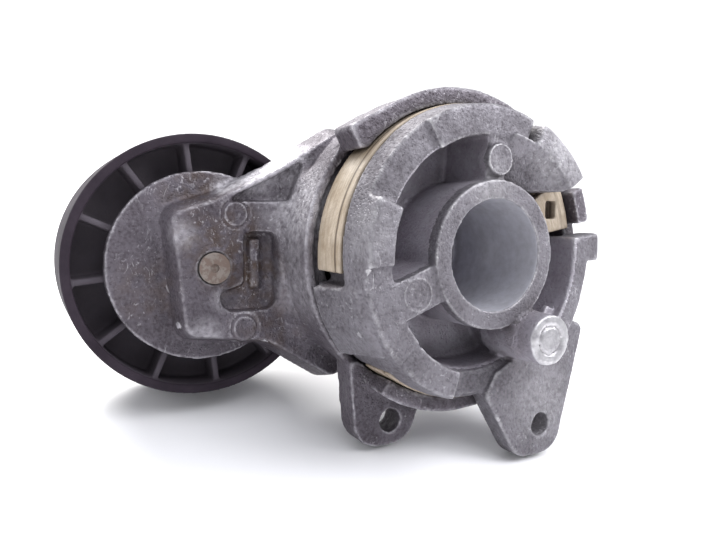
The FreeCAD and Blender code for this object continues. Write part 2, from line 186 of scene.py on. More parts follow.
def addNode(tree, kind, inputs=None, **settings):
    node = tree.nodes.new("ShaderNode" + kind)
    for word, value in settings.items():
        setattr(node, word, value)
    for word, value in (inputs or {}).items():
        if isinstance(value, bpy.types.NodeSocket):
            tree.links.new(value, node.inputs[word])
        else:
            node.inputs[word].default_value = value
    return node


def blendColours(tree, factor, first, second):
    # a Mix node keeps its colour sockets at places 6 and 7
    return addNode(tree, "Mix", {0: factor, 6: first, 7: second}, data_type="RGBA").outputs[2]


def arithmetic(tree, operation, first, second):
    return addNode(tree, "Math", {0: first, 1: second}, operation=operation).outputs[0]


def spread(tree, value, low, high, toLow=0.0, toHigh=1.0):
    limits = {"Value": value, "From Min": low, "From Max": high, "To Min": toLow, "To Max": toHigh}
    return addNode(tree, "MapRange", limits).outputs["Result"]


def noise(tree, place, scale, detail, output="Fac", **more):
    node = addNode(tree, "TexNoise", {"Vector": place, "Scale": scale, "Detail": detail, **more})
    return node.outputs[output]


def newGroup(name, vectors, numbers, outputs=("Mask",)):
    group = bpy.data.node_groups.new(name, "ShaderNodeTree")
    for word in vectors:
        group.interface.new_socket(name=word, in_out="INPUT", socket_type="NodeSocketVector")
    for word in numbers:
        group.interface.new_socket(name=word, in_out="INPUT", socket_type="NodeSocketFloat")
    for word in outputs:
        group.interface.new_socket(name=word, in_out="OUTPUT", socket_type="NodeSocketFloat")
    return group, group.nodes.new("NodeGroupInput").outputs, group.nodes.new("NodeGroupOutput").inputs


grainValues = {
    "patchDetail": 7.0, "patchRoughness": 0.62, "patchRange": (0.3, 0.7), "patchHeight": 1.4,
    "sandDetail": 3.0, "pitEdge": 0.35,
}


def grainGroup():
    # cloudy patches, fine sand and small pits
    group, given, out = newGroup("surfaceGrain", ["Place"], ["Patch Scale", "Sand Scale", "Pits"],
                                 ["Patches", "Sand", "Height"])
    place = given["Place"]
    patches = noise(group, place, given["Patch Scale"], grainValues["patchDetail"],
                    Roughness=grainValues["patchRoughness"])
    sand = noise(group, place, given["Sand Scale"], grainValues["sandDetail"])
    holes = addNode(group, "TexVoronoi", {"Vector": place, "Scale": given["Sand Scale"]})
    pitDepth = spread(group, holes.outputs["Distance"], 0.0, grainValues["pitEdge"], 1.0, 0.0)
    pits = arithmetic(group, "MULTIPLY", pitDepth, given["Pits"])
    rough = arithmetic(group, "MULTIPLY_ADD", patches, grainValues["patchHeight"])
    group.links.new(sand, rough.node.inputs[2])
    group.links.new(spread(group, patches, *grainValues["patchRange"]), out["Patches"])
    group.links.new(sand, out["Sand"])
    group.links.new(arithmetic(group, "SUBTRACT", rough, pits), out["Height"])
    return group


wearValues = {"detail": 6.0, "roughness": 0.7, "range": (0.38, 0.6), "least": 0.1}


def wearGroup():
    # bare metal or plastic where edges and corners have been rubbed
    group, given, out = newGroup("edgeWear", ["Place"], ["Start", "Width", "Breakup Scale"])
    corner = addNode(group, "NewGeometry").outputs["Pointiness"]
    edge = spread(group, corner, given["Start"], arithmetic(group, "ADD", given["Start"], given["Width"]))
    broken = noise(group, given["Place"], given["Breakup Scale"], wearValues["detail"],
                   Roughness=wearValues["roughness"])
    share = spread(group, broken, *wearValues["range"], wearValues["least"], 1.0)
    group.links.new(arithmetic(group, "MULTIPLY", edge, share), out["Mask"])
    return group


grimeAndShadeValues = {"samples": 6, "shade": (0.25, 0.85), "detail": 5.0, "range": (0.3, 0.6), "least": 0.35}


def grimeAndShadeGroup():
    # a mask of the hollows, where little light and no cloth reaches: on the castings it carries painted shade
    # with dirt, on the other pieces dirt, dust and rust
    group, given, out = newGroup("grimeAndShade", ["Place"], ["Reach", "Patch Scale"])
    hollow = addNode(group, "AmbientOcclusion", {"Distance": given["Reach"]}, samples=grimeAndShadeValues["samples"])
    shade = spread(group, hollow.outputs["AO"], *grimeAndShadeValues["shade"], 1.0, 0.0)
    patches = noise(group, given["Place"], given["Patch Scale"], grimeAndShadeValues["detail"])
    share = spread(group, patches, *grimeAndShadeValues["range"], grimeAndShadeValues["least"], 1.0)
    group.links.new(arithmetic(group, "MULTIPLY", shade, share), out["Mask"])
    return group


scuffValues = {
    "bendScale": 90.0, "bendDetail": 1.0, "bend": 0.012, "turn": (0.3, 0.9, 0.2), "stretch": (1.0, 0.8, 0.5),
    "detail": 3.0, "distortion": 1.2, "lines": (0.61, 0.69), "specks": (0.62, 0.71),
    "clusterDetail": 4.0, "clusters": (0.47, 0.63), "least": 0.12,
}


def scuffGroup():
    # bright flecks and short scratches, loosely scattered and thick in a few clusters
    group, given, out = newGroup("scuffs", ["Place"], ["Speck Scale", "Cluster Scale"])
    place = given["Place"]
    bent = noise(group, place, scuffValues["bendScale"], scuffValues["bendDetail"], "Color")
    swirled = addNode(group, "VectorMath", {0: bent, 3: scuffValues["bend"]}, operation="SCALE").outputs[0]
    moved = addNode(group, "VectorMath", {0: place, 1: swirled}, operation="ADD").outputs[0]
    stretched = addNode(group, "Mapping", {"Vector": moved, "Rotation": scuffValues["turn"],
                                           "Scale": scuffValues["stretch"]}).outputs["Vector"]
    lines = noise(group, stretched, given["Speck Scale"], scuffValues["detail"],
                  Distortion=scuffValues["distortion"])
    specks = noise(group, place, given["Speck Scale"], scuffValues["detail"])
    thin = arithmetic(group, "MAXIMUM", spread(group, lines, *scuffValues["lines"]),
                      spread(group, specks, *scuffValues["specks"]))
    clusters = noise(group, place, given["Cluster Scale"], scuffValues["clusterDetail"])
    share = spread(group, clusters, *scuffValues["clusters"], scuffValues["least"], 1.0)
    group.links.new(arithmetic(group, "MULTIPLY", thin, share), out["Mask"])
    return group


streakValues = {"detail": 4.0, "roughness": 0.6, "range": (0.42, 0.68)}


def streakGroup():
    # dirt drawn out round the pivot axis: slow along the turn, quick across it
    group, given, out = newGroup("ringStreaks", ["Place"], ["Across", "Along"])
    parts = addNode(group, "SeparateXYZ", {"Vector": given["Place"]}).outputs
    turned = arithmetic(group, "ARCTAN2", parts["Z"], arithmetic(group, "MULTIPLY", parts["X"], -1.0))
    flat = addNode(group, "CombineXYZ", {"X": parts["X"], "Y": parts["Z"]})
    radius = addNode(group, "VectorMath", {0: flat.outputs["Vector"]}, operation="LENGTH").outputs["Value"]
    unrolled = addNode(group, "CombineXYZ", {"X": arithmetic(group, "MULTIPLY", radius, given["Across"]),
                                             "Y": arithmetic(group, "MULTIPLY", parts["Y"], given["Across"]),
                                             "Z": arithmetic(group, "MULTIPLY", turned, given["Along"])})
    drawn = noise(group, unrolled.outputs["Vector"], 1.0, streakValues["detail"],
                  Roughness=streakValues["roughness"])
    group.links.new(spread(group, drawn, *streakValues["range"]), out["Mask"])
    return group


stainAndHighlightValues = {"core": 0.35, "detail": 6.0}


def stainAndHighlightGroup():
    # a patch round one point, broken up by noise; it makes the stains and the painted highlights
    group, given, out = newGroup("localStainAndHighlight", ["Place", "Centre"],
                                 ["Radius", "Breakup Scale", "Break Low", "Break High"])
    away = addNode(group, "VectorMath", {0: given["Place"], 1: given["Centre"]}, operation="DISTANCE")
    near = arithmetic(group, "DIVIDE", away.outputs["Value"], given["Radius"])
    fade = spread(group, near, stainAndHighlightValues["core"], 1.0, 1.0, 0.0)
    broken = noise(group, given["Place"], given["Breakup Scale"], stainAndHighlightValues["detail"])
    share = spread(group, broken, given["Break Low"], given["Break High"])
    group.links.new(arithmetic(group, "MULTIPLY", fade, share), out["Mask"])
    return group


surfaceGrain = grainGroup()
edgeWear = wearGroup()
grimeAndShade = grimeAndShadeGroup()
localStainAndHighlight = stainAndHighlightGroup()
scuffs = scuffGroup()
ringStreaks = streakGroup()
print("shader groups built")


def placeGroup(tree, group, inputs):
    return addNode(tree, "Group", inputs, node_tree=group).outputs


def placeGrain(tree, place, values):
    return placeGroup(tree, surfaceGrain, {"Place": place, "Patch Scale": values["patchScale"],
                                           "Sand Scale": values["sandScale"], "Pits": values["pits"]})


def placeWear(tree, place, values):
    return placeGroup(tree, edgeWear, {"Place": place, "Start": values["wearStart"],
                                       "Width": values["wearWidth"],
                                       "Breakup Scale": values["wearScale"]})["Mask"]


def placeGrimeAndShade(tree, place, values):
    return placeGroup(tree, grimeAndShade, {"Place": place, "Reach": values["grimeAndShadeReach"],
                                    "Patch Scale": values["grimeAndShadeScale"]})["Mask"]


def placeSpot(tree, place, spot, breakup):
    # spot: place, reach, strength; breakup: scale of the noise, and its levels for none and all
    centre, radius, strength = spot
    scale, low, high = breakup
    mask = placeGroup(tree, localStainAndHighlight, {"Place": place, "Centre": centre, "Radius": radius,
                                         "Breakup Scale": scale, "Break Low": low,
                                         "Break High": high})["Mask"]
    return arithmetic(tree, "MULTIPLY", mask, strength)


def newMaterial(name):
    material = bpy.data.materials.new(name)
    material.use_nodes = True
    tree = material.node_tree
    tree.nodes.clear()
    shader = addNode(tree, "BsdfPrincipled")
    addNode(tree, "OutputMaterial", {"Surface": shader.outputs["BSDF"]})
    place = addNode(tree, "TexCoord").outputs["Object"]
    return material, tree, shader.inputs, place


def addBump(tree, shader, height, distance, strength=1.0):
    bump = addNode(tree, "Bump", {"Height": height, "Distance": distance, "Strength": strength})
    tree.links.new(bump.outputs["Normal"], shader["Normal"])


# materials that several pieces share

castMetalValues = {
    # worn is the colour of rubbed edges and scuffs, and of the painted highlights
    "worn": (0.60, 0.59, 0.61, 1), "grimeAndShade": (0.050, 0.042, 0.048, 1), "rust": (0.070, 0.046, 0.036, 1),
    "patchScale": 95.0, "sandScale": 1150.0, "pits": 0.6, "speckle": 0.5, "speckleRange": (0.38, 0.66),
    "darkSpeckle": 0.5, "darkSpeckleRange": (0.30, 0.46), "wearStart": 0.512, "wearWidth": 0.05, "wearScale": 260.0,
    "speckScale": 900.0, "clusterScale": 110.0, "scuffShare": 0.42, "grimeAndShadeReach": 0.006, "grimeAndShadeScale": 150.0,
    "stainBreakup": (300.0, 0.40, 0.62), "highlightBreakup": (650.0, 0.22, 0.74),
    "roughSmooth": 0.40, "roughDull": 0.66, "wornPolish": 0.12, "bumpDistance": 0.00028,
    "metallic": 0.5, "dirtyMetallic": 0.05,
}


def castMetal(name, stains, paintedHighlights, **changed):
    # weathered die-cast aluminium: cloudy grey skin, rubbed edges, dirt and painted shade in the hollows,
    # rust run off steel, painted highlights
    # each casting brings its own light and dark
    values = dict(castMetalValues, **changed)
    material, tree, shader, place = newMaterial(name)
    grain = placeGrain(tree, place, values)
    worn = placeWear(tree, place, values)
    scratched = placeGroup(tree, scuffs, {"Place": place, "Speck Scale": values["speckScale"],
                                          "Cluster Scale": values["clusterScale"]})["Mask"]
    # the mask of the hollows carries painted shade as well as dirt
    dirt = placeGrimeAndShade(tree, place, values)
    skin = blendColours(tree, grain["Patches"], values["dark"], values["light"])
    speckle = spread(tree, grain["Sand"], *values["speckleRange"], 0.0, values["speckle"])
    skin = blendColours(tree, speckle, skin, values["light"])
    # dark flecks at random from the fine sand noise
    darkSpeckle = spread(tree, grain["Sand"], *values["darkSpeckleRange"], values["darkSpeckle"], 0.0)
    skin = blendColours(tree, darkSpeckle, skin, values["dark"])
    # painted shade with dirt: the hollows turn towards a darker colour
    skin = blendColours(tree, dirt, skin, values["grimeAndShade"])
    for spot in stains:
        skin = blendColours(tree, placeSpot(tree, place, spot, values["stainBreakup"]), skin, values["rust"])
    # painted highlights: patches lightened to the worn colour where the light falls brightest
    for spot in paintedHighlights:
        skin = blendColours(tree, placeSpot(tree, place, spot, values["highlightBreakup"]), skin, values["worn"])
    skin = blendColours(tree, worn, skin, values["worn"])
    flecks = arithmetic(tree, "MULTIPLY", scratched, values["scuffShare"])
    tree.links.new(blendColours(tree, flecks, skin, values["worn"]), shader["Base Color"])
    dull = spread(tree, grain["Patches"], 0.0, 1.0, values["roughDull"], values["roughSmooth"])
    polish = arithmetic(tree, "MULTIPLY", worn, values["wornPolish"])
    tree.links.new(arithmetic(tree, "SUBTRACT", dull, polish), shader["Roughness"])
    bare = spread(tree, dirt, 0.0, 1.0, values["metallic"], values["dirtyMetallic"])
    tree.links.new(bare, shader["Metallic"])
    addBump(tree, shader, grain["Height"], values["bumpDistance"])
    return material


machinedValues = {
    "dark": (0.32, 0.31, 0.33, 1), "light": (0.62, 0.61, 0.63, 1), "stain": (0.10, 0.075, 0.06, 1),
    "metallic": 0.85, "roughDull": 0.5, "roughSmooth": 0.3, "ringDistortion": 0.6, "ringDetail": 2.0,
    "blotchScale": 320.0, "blotchDetail": 6.0, "blotchRoughness": 0.65, "blotchRange": (0.35, 0.65),
    "grimeAndShadeReach": 0.006, "grimeAndShadeScale": 300.0, "bumpDistance": 0.00003, "bumpStrength": 0.6,
}


def machinedMetal(name, centre, **changed):
    # fine turning marks round the Y axis through the centre, with dirty blotches
    values = dict(machinedValues, **changed)
    material, tree, shader, place = newMaterial(name)
    offset = addNode(tree, "Mapping", {"Vector": place, "Location": [-number for number in centre]})
    rings = addNode(tree, "TexWave", {"Vector": offset.outputs["Vector"], "Scale": values["ringScale"],
                                      "Distortion": values["ringDistortion"], "Detail": values["ringDetail"]},
                    wave_type="RINGS", rings_direction="Y")
    blotch = noise(tree, place, values["blotchScale"], values["blotchDetail"],
                   Roughness=values["blotchRoughness"])
    patches = spread(tree, blotch, *values["blotchRange"])
    metal = blendColours(tree, patches, values["dark"], values["light"])
    dirt = placeGrimeAndShade(tree, place, values)
    tree.links.new(blendColours(tree, dirt, metal, values["stain"]), shader["Base Color"])
    dull = spread(tree, patches, 0.0, 1.0, values["roughDull"], values["roughSmooth"])
    tree.links.new(dull, shader["Roughness"])
    shader["Metallic"].default_value = values["metallic"]
    addBump(tree, shader, rings.outputs["Fac"], values["bumpDistance"], values["bumpStrength"])
    return material


steelValues = {
    "rust": (0.10, 0.060, 0.038, 1), "patchScale": 260.0, "sandScale": 900.0, "pits": 0.4, "shade": 0.75,
    "rustEdge": 0.15, "grimeAndShadeReach": 0.004, "grimeAndShadeScale": 300.0, "grimeShare": 0.8, "rustRoughness": 0.8,
    "metallic": 0.95, "rustMetallic": 0.15, "bumpDistance": 0.00006, "bumpStrength": 0.8,
}


def steel(name, **changed):
    # plated or plain steel with freckles of rust
    values = dict(steelValues, **changed)
    colour, rustShare = values["colour"], values["rustShare"]
    material, tree, shader, place = newMaterial(name)
    grain = placeGrain(tree, place, values)
    freckles = spread(tree, grain["Patches"], 1.0 - rustShare, 1.0 + values["rustEdge"] - rustShare)
    dirt = arithmetic(tree, "MULTIPLY", placeGrimeAndShade(tree, place, values), values["grimeShare"])
    rusty = arithmetic(tree, "MAXIMUM", freckles, dirt)
    shaded = [part * values["shade"] for part in colour[:3]] + [1]
    bare = blendColours(tree, grain["Sand"], shaded, colour)
    tree.links.new(blendColours(tree, rusty, bare, values["rust"]), shader["Base Color"])
    for socket, onBare, onRust in (("Roughness", "roughness", "rustRoughness"),
                                   ("Metallic", "metallic", "rustMetallic")):
        tree.links.new(spread(tree, rusty, 0.0, 1.0, values[onBare], values[onRust]), shader[socket])
    addBump(tree, shader, grain["Height"], values["bumpDistance"], values["bumpStrength"])
    return material


plasticValues = {
    "patchScale": 140.0, "sandScale": 1400.0, "pits": 0.2, "wearStart": 0.52, "wearWidth": 0.08,
    "wearScale": 300.0, "wearShare": 0.7, "grimeAndShadeReach": 0.008, "grimeAndShadeScale": 220.0, "dullness": 0.12,
    "specular": 0.5, "bumpDistance": 0.00008,
}


def plastic(name, **changed):
    # moulded plastic or rubber with rubbed edges and dust in its corners
    values = dict(plasticValues, **changed)
    material, tree, shader, place = newMaterial(name)
    grain = placeGrain(tree, place, values)
    rubbed = arithmetic(tree, "MULTIPLY", placeWear(tree, place, values), values["wearShare"])
    dirt = arithmetic(tree, "MULTIPLY", placeGrimeAndShade(tree, place, values), values["dustShare"])
    colour = blendColours(tree, grain["Patches"], values["dark"], values["light"])
    colour = blendColours(tree, rubbed, colour, values["light"])
    colour = blendColours(tree, dirt, colour, values["dust"])
    tree.links.new(colour, shader["Base Color"])
    smooth = values["roughness"]
    dull = spread(tree, grain["Patches"], 0.0, 1.0, smooth + values["dullness"], smooth)
    tree.links.new(dull, shader["Roughness"])
    shader["Specular IOR Level"].default_value = values["specular"]
    addBump(tree, shader, grain["Height"], values["bumpDistance"])
    return material


def turnOf(point):
    # degrees round the pivot axis from +X towards +Z
    return math.degrees(math.atan2(point.z, point.x)) % 360


# base casting

baseValues = {
    "voxel": 0.45 * mm, "rounding": 9, "triangles": 195000,
    "unevenness": ((5.0 * mm, 0.30 * mm), (1.1 * mm, 0.12 * mm)),
    # worn zones: where they are, how much of the smoothing they take, and its steps
    "ear": {"turns": (157, 183), "fade": 4, "inner": 28 * mm, "depth": 6 * mm, "steps": 16},
    "rightSide": {"low": (12 * mm, -14 * mm), "inner": 27 * mm, "depth": 13 * mm, "share": 0.9, "steps": 14},
    "foot": {"place": (-13.5 * mm, -32 * mm), "reach": 10 * mm, "depth": 11 * mm, "share": 1.6, "steps": 30},
    "lobe": {"turns": (184, 232), "inner": 36.5 * mm, "depth": 23 * mm, "share": 0.9, "steps": 22},
    # ejector pin marks, and the ring turned into the tip of the locating boss
    "marks": ((2.0 * mm, 1.4 * mm, 23.6 * mm), (-23.1 * mm, 0.5 * mm, -8.4 * mm)),
    "mark": {"radius": 3.2 * mm, "depth": 0.35 * mm, "halfWidth": 0.55 * mm},
    "boss": (12.5 * mm, -21.4 * mm), "bossFace": -6.4 * mm,
    "bossRing": {"radius": 3.65 * mm, "depth": 0.45 * mm, "halfWidth": 0.5 * mm},
    # limits of the materials
    "boreRadius": 14.3 * mm, "boreSpan": (0.3 * mm, 33.5 * mm), "bossReach": 7.0 * mm, "bossTip": -5.9 * mm,
    "bossSkirt": 0.5 * mm, "bossFoot": 4 * mm, "sideways": 0.5,
    "hollowRadius": 30.2 * mm, "hollowFace": 3.2 * mm, "wallRadius": 34.0 * mm, "wallTurns": (322, 7),
    "openTurns": (33, 80),
    # rust run off the boss: depth of its centre, reach and strength, outside and inside
    "stainDepth": 6 * mm, "stain": (12 * mm, 0.4), "insideStain": (13 * mm, 0.35),
    # painted highlights, patches lightened to the worn colour: place, reach, strength
    "paintedHighlights": (((24 * mm, 0, 27 * mm), 13 * mm, 0.55), ((23 * mm, 6 * mm, -42 * mm), 15 * mm, 0.35),
             ((-2 * mm, 0, 18 * mm), 9 * mm, 0.4), ((-36 * mm, 2 * mm, 6 * mm), 9 * mm, 0.25)),
    "skin": {"light": (0.215, 0.204, 0.228, 1), "dark": (0.078, 0.069, 0.080, 1)},
    # the inside skin is a lighter copy of the casting skin: painted light in the hollow between hub and ring
    "inside": {"light": (0.44, 0.42, 0.47, 1), "dark": (0.25, 0.225, 0.255, 1),
               "grimeAndShade": (0.10, 0.085, 0.095, 1), "speckle": 0.2, "scuffShare": 0.2},
    "bossFinish": {"ringScale": 500.0},
    "boreFinish": {"ringScale": 120.0, "light": (0.52, 0.52, 0.57, 1), "dark": (0.42, 0.415, 0.45, 1),
                   "metallic": 0.3},
}


def onEar(point):
    zone = baseValues["ear"]
    first, last = zone["turns"]
    inside = min(turnOf(point) - first + zone["fade"], last + zone["fade"] - turnOf(point)) / zone["fade"]
    near = point.y < zone["depth"] and math.hypot(point.x, point.z) > zone["inner"]
    return min(1, inside) if near else 0


def onRightSide(point):
    # the notched block, the side wall and its tab are worn rounder than the rest
    zone = baseValues["rightSide"]
    lowX, lowZ = zone["low"]
    aside = point.x > lowX and point.z > lowZ and math.hypot(point.x, point.z) > zone["inner"]
    return zone["share"] if aside and point.y < zone["depth"] else 0


def onFoot(point):
    zone = baseValues["foot"]
    x, z = zone["place"]
    away = Vector((point.x - x, point.z - z)).length
    return zone["share"] * (1 - away / zone["reach"]) if point.y < zone["depth"] else 0


def onLobe(point):
    zone = baseValues["lobe"]
    first, last = zone["turns"]
    outside = math.hypot(point.x, point.z) > zone["inner"] and first < turnOf(point) < last
    return zone["share"] if outside and point.y < zone["depth"] else 0


def chooseOnBase(centre, normal):
    # 0 is the outer skin, 1 the machined boss, 2 the machined bore, 3 the inner skin, a lighter copy of the
    # skin painted as light
    values = baseValues
    radius = math.hypot(centre.x, centre.z)
    first, last = values["boreSpan"]
    if radius < values["boreRadius"] and first < centre.y < last:
        return 2
    bossX, bossZ = values["boss"]
    fromBoss = math.hypot(centre.x - bossX, centre.z - bossZ)
    if fromBoss < values["bossReach"] and centre.y < values["bossTip"]:
        return 1
    # the sides round the boss's foot take the lighter copy too: painted light
    skirt = values["bossReach"] + values["bossSkirt"]
    if fromBoss < skirt and centre.y < values["bossFoot"] and abs(normal.y) < values["sideways"]:
        return 3
    # the hollow between hub and ring takes the lighter copy of the skin as painted light, but for the slope
    # behind the notched block
    turn = turnOf(centre)
    openFirst, openLast = values["openTurns"]
    if openFirst < turn < openLast:
        return 0
    wallFirst, wallLast = values["wallTurns"]
    limit = values["wallRadius"] if turn > wallFirst or turn < wallLast else values["hollowRadius"]
    return 3 if radius < limit and centre.y > values["hollowFace"] else 0


def baseCasting():
    piece = copyOf("base_housing", "baseCasting")
    soften(piece, baseValues)
    for name, weightAt in (("ear", onEar), ("rightSide", onRightSide), ("foot", onFoot), ("lobe", onLobe)):
        meltZone(piece, name, weightAt, baseValues[name]["steps"])
    for number, centre in enumerate(baseValues["marks"]):
        pressCircle(piece, "mark%d" % number, centre, **baseValues["mark"])
    bossX, bossZ = baseValues["boss"]
    pressCircle(piece, "bossRing", (bossX, baseValues["bossFace"], bossZ), **baseValues["bossRing"])
    giveSkin(piece, baseValues)
    underBoss = (bossX, baseValues["stainDepth"], bossZ)
    stains = [(underBoss, *baseValues["stain"])]
    insideStains = [(underBoss, *baseValues["insideStain"])]
    skin = castMetal("castBase", stains, baseValues["paintedHighlights"], **baseValues["skin"])
    # painted light: the hollow gets a lighter copy of the skin
    inside = castMetal("castInsidePaintedLighter", insideStains, [], **baseValues["inside"])
    boss = machinedMetal("machinedBoss", (bossX, 0, bossZ), **baseValues["bossFinish"])
    bore = machinedMetal("machinedBore", (0, 0, 0), **baseValues["boreFinish"])
    paintFaces(piece, [skin, boss, bore, inside], chooseOnBase)
    finishPiece(piece, "base", "cast_base", "base_housing")
    return piece


# arm casting

armValues = {
    "voxel": 0.5 * mm, "rounding": 7, "triangles": 195000,
    "unevenness": ((6.0 * mm, 0.35 * mm), (1.2 * mm, 0.13 * mm)),
    # the corner between the drum's cone and the beam's flat face
    "beamFace": 40.0 * mm, "drumTaper": 0.107, "rimRadius": 41.3 * mm, "rimDepth": 23.5 * mm,
    "fillet": (6.0 * mm, 12.0 * mm), "filletTurns": (143, 222), "filletFade": 8, "filletInner": 36 * mm,
    "filletSlack": 0.7 * mm, "filletSteps": 12,
    # worn zones
    "rim": {"turns": (145, 228), "reach": 4.0 * mm, "share": 1.3, "steps": 30},
    "pocket": {"place": (-49.0 * mm, -6 * mm), "reach": 12 * mm, "span": (38 * mm, 45 * mm), "share": 1.5,
               "steps": 34},
    "marks": ((-53.2 * mm, 39.6 * mm, 10.2 * mm), (-51.3 * mm, 39.6 * mm, -19.8 * mm)),
    "mark": {"radius": 3.5 * mm, "depth": 0.55 * mm, "halfWidth": 0.7 * mm},
    # rust round the pocket, the bolt's end and the seat disc: place, reach, strength
    "stains": (((-49 * mm, 41 * mm, -6 * mm), 12 * mm, 1.0), ((-59.2 * mm, 40 * mm, -3.6 * mm), 8 * mm, 0.8),
               ((-45 * mm, 38 * mm, -22 * mm), 13 * mm, 0.6), ((-62 * mm, 48 * mm, 16 * mm), 11 * mm, 0.7),
               ((-74 * mm, 48 * mm, -10 * mm), 12 * mm, 0.5), ((-52 * mm, 40 * mm, 6 * mm), 9 * mm, 0.8),
               ((-62 * mm, 40 * mm, 4 * mm), 9 * mm, 0.8)),
    # painted highlights, patches lightened to the worn colour: place, reach, strength
    "paintedHighlights": (((-54 * mm, 45 * mm, 17.5 * mm), 5 * mm, 1.3), ((-47 * mm, 44 * mm, 21 * mm), 7 * mm, 1.4),
             ((-39 * mm, 44 * mm, 26 * mm), 9 * mm, 1.2), ((-39 * mm, 31 * mm, 12 * mm), 14 * mm, 0.9),
             ((-40 * mm, 31 * mm, -8 * mm), 13 * mm, 0.5), ((-67 * mm, 41 * mm, 5 * mm), 5 * mm, 0.5),
             ((-62 * mm, 40 * mm, -21 * mm), 6 * mm, 0.5), ((-57 * mm, 40 * mm, -12 * mm), 4 * mm, 0.5)),
    # the worn colour also paints the arm's highlights
    "skin": {"light": (0.150, 0.134, 0.158, 1), "dark": (0.048, 0.038, 0.047, 1),
             "worn": (0.62, 0.60, 0.64, 1), "patchScale": 75.0, "clusterScale": 85.0},
}


def filletAcross(point):
    values = armValues
    turn = turnOf(point)
    first, last = values["filletTurns"]
    fade = min(1.0, (turn - first) / values["filletFade"], (last - turn) / values["filletFade"])
    flat = Vector((point.x, 0, point.z))
    radius = flat.length
    if fade <= 0 or radius < values["filletInner"]:
        return None
    along = values["rimDepth"] - point.y
    fromDrum = radius - (values["rimRadius"] + along * values["drumTaper"])
    fromBeam = values["beamFace"] - point.y
    if fromDrum < -values["filletSlack"] or fromBeam < -values["filletSlack"]:
        return None
    return max(0, fromDrum), max(0, fromBeam), flat.normalized() * -1, Vector((0, 1, 0)), fade


def onRim(point):
    zone = armValues["rim"]
    first, last = zone["turns"]
    if not first < turnOf(point) < last:
        return 0
    outward = math.hypot(point.x, point.z) - armValues["rimRadius"]
    away = math.hypot(outward, point.y - armValues["rimDepth"])
    return zone["share"] * (1 - away / zone["reach"])


def inPocket(point):
    zone = armValues["pocket"]
    x, z = zone["place"]
    first, last = zone["span"]
    away = math.hypot(point.x - x, point.z - z)
    return zone["share"] * (1 - away / zone["reach"]) if first < point.y < last else 0


def armCasting():
    piece = copyOf("tension_arm", "armCasting")
    soften(piece, armValues)
    roundHollow(piece, filletAcross, *armValues["fillet"])
    meltZone(piece, "fillet", lambda point: 1.0 if filletAcross(point) else 0, armValues["filletSteps"])
    meltZone(piece, "rim", onRim, armValues["rim"]["steps"])
    meltZone(piece, "pocket", inPocket, armValues["pocket"]["steps"])
    for number, centre in enumerate(armValues["marks"]):
        pressCircle(piece, "mark%d" % number, centre, **armValues["mark"])
    giveSkin(piece, armValues)
    skin = castMetal("castArm", armValues["stains"], armValues["paintedHighlights"], **armValues["skin"])
    paintFaces(piece, [skin], lambda centre, normal: 0)
    finishPiece(piece, "arm", "cast_arm", "tension_arm")
    return piece


# friction shoes

shoeValues = {
    "voxel": 0.35 * mm, "rounding": 2, "triangles": 60000,
    "unevenness": ((4.0 * mm, 0.12 * mm),),
    "pale": (0.56, 0.48, 0.39, 1), "yellowed": (0.32, 0.25, 0.175, 1), "dirt": (0.085, 0.062, 0.042, 1),
    "patchScale": 170.0, "sandScale": 1500.0, "pits": 0.2, "grimeAndShadeReach": 0.005, "grimeAndShadeScale": 260.0,
    "grimeShare": 0.9,
    # streaks: quickness across and along the ring, strength
    "streaks": (1100.0, 5.0, 0.45), "fineStreaks": (3200.0, 9.0, 0.35),
    # a dark line in the dirt colour is painted along the fine step behind the front edge as painted shade of
    # the step: the step's depth, then where the line fades and ends
    "shoulder": 13.0 * mm, "lineRange": (0.25 * mm, 0.6 * mm), "lineShare": 0.85,
    "roughSmooth": 0.42, "roughDull": 0.62, "bumpDistance": 0.0001,
}


def creamNylon():
    # ivory nylon, yellowed in patches, with brown dirt rubbed in round the ring
    values = shoeValues
    material, tree, shader, place = newMaterial("creamNylon")
    grain = placeGrain(tree, place, values)
    colour = blendColours(tree, grain["Patches"], values["yellowed"], values["pale"])
    masks = {}
    for streaks, tint in (("streaks", "yellowed"), ("fineStreaks", "dirt")):
        across, along, share = values[streaks]
        mask = placeGroup(tree, ringStreaks, {"Place": place, "Across": across, "Along": along})["Mask"]
        colour = blendColours(tree, arithmetic(tree, "MULTIPLY", mask, share), colour, values[tint])
        masks[streaks] = mask
    dirt = arithmetic(tree, "MULTIPLY", placeGrimeAndShade(tree, place, values), values["grimeShare"])
    colour = blendColours(tree, dirt, colour, values["dirt"])
    # painted shade: a dark line at the step's depth, in the dirt colour
    depth = addNode(tree, "SeparateXYZ", {"Vector": place}).outputs["Y"]
    fromShoulder = arithmetic(tree, "ABSOLUTE", arithmetic(tree, "SUBTRACT", depth, values["shoulder"]), 0.0)
    line = spread(tree, fromShoulder, *values["lineRange"], values["lineShare"], 0.0)
    tree.links.new(blendColours(tree, line, colour, values["dirt"]), shader["Base Color"])
    dull = spread(tree, masks["streaks"], 0.0, 1.0, values["roughSmooth"], values["roughDull"])
    tree.links.new(dull, shader["Roughness"])
    addBump(tree, shader, grain["Height"], values["bumpDistance"])
    return material


def frictionShoes():
    nylon = creamNylon()
    for nodeName, pieceName in (("upper_friction_shoe", "upperFrictionShoe"),
                                ("lower_friction_shoe", "lowerFrictionShoe")):
        piece = copyOf(nodeName, pieceName)
        soften(piece, shoeValues)
        giveSkin(piece, shoeValues)
        paintFaces(piece, [nylon], lambda centre, normal: 0)
        finishPiece(piece, "base", "shoe_nylon", nodeName)


# pulley

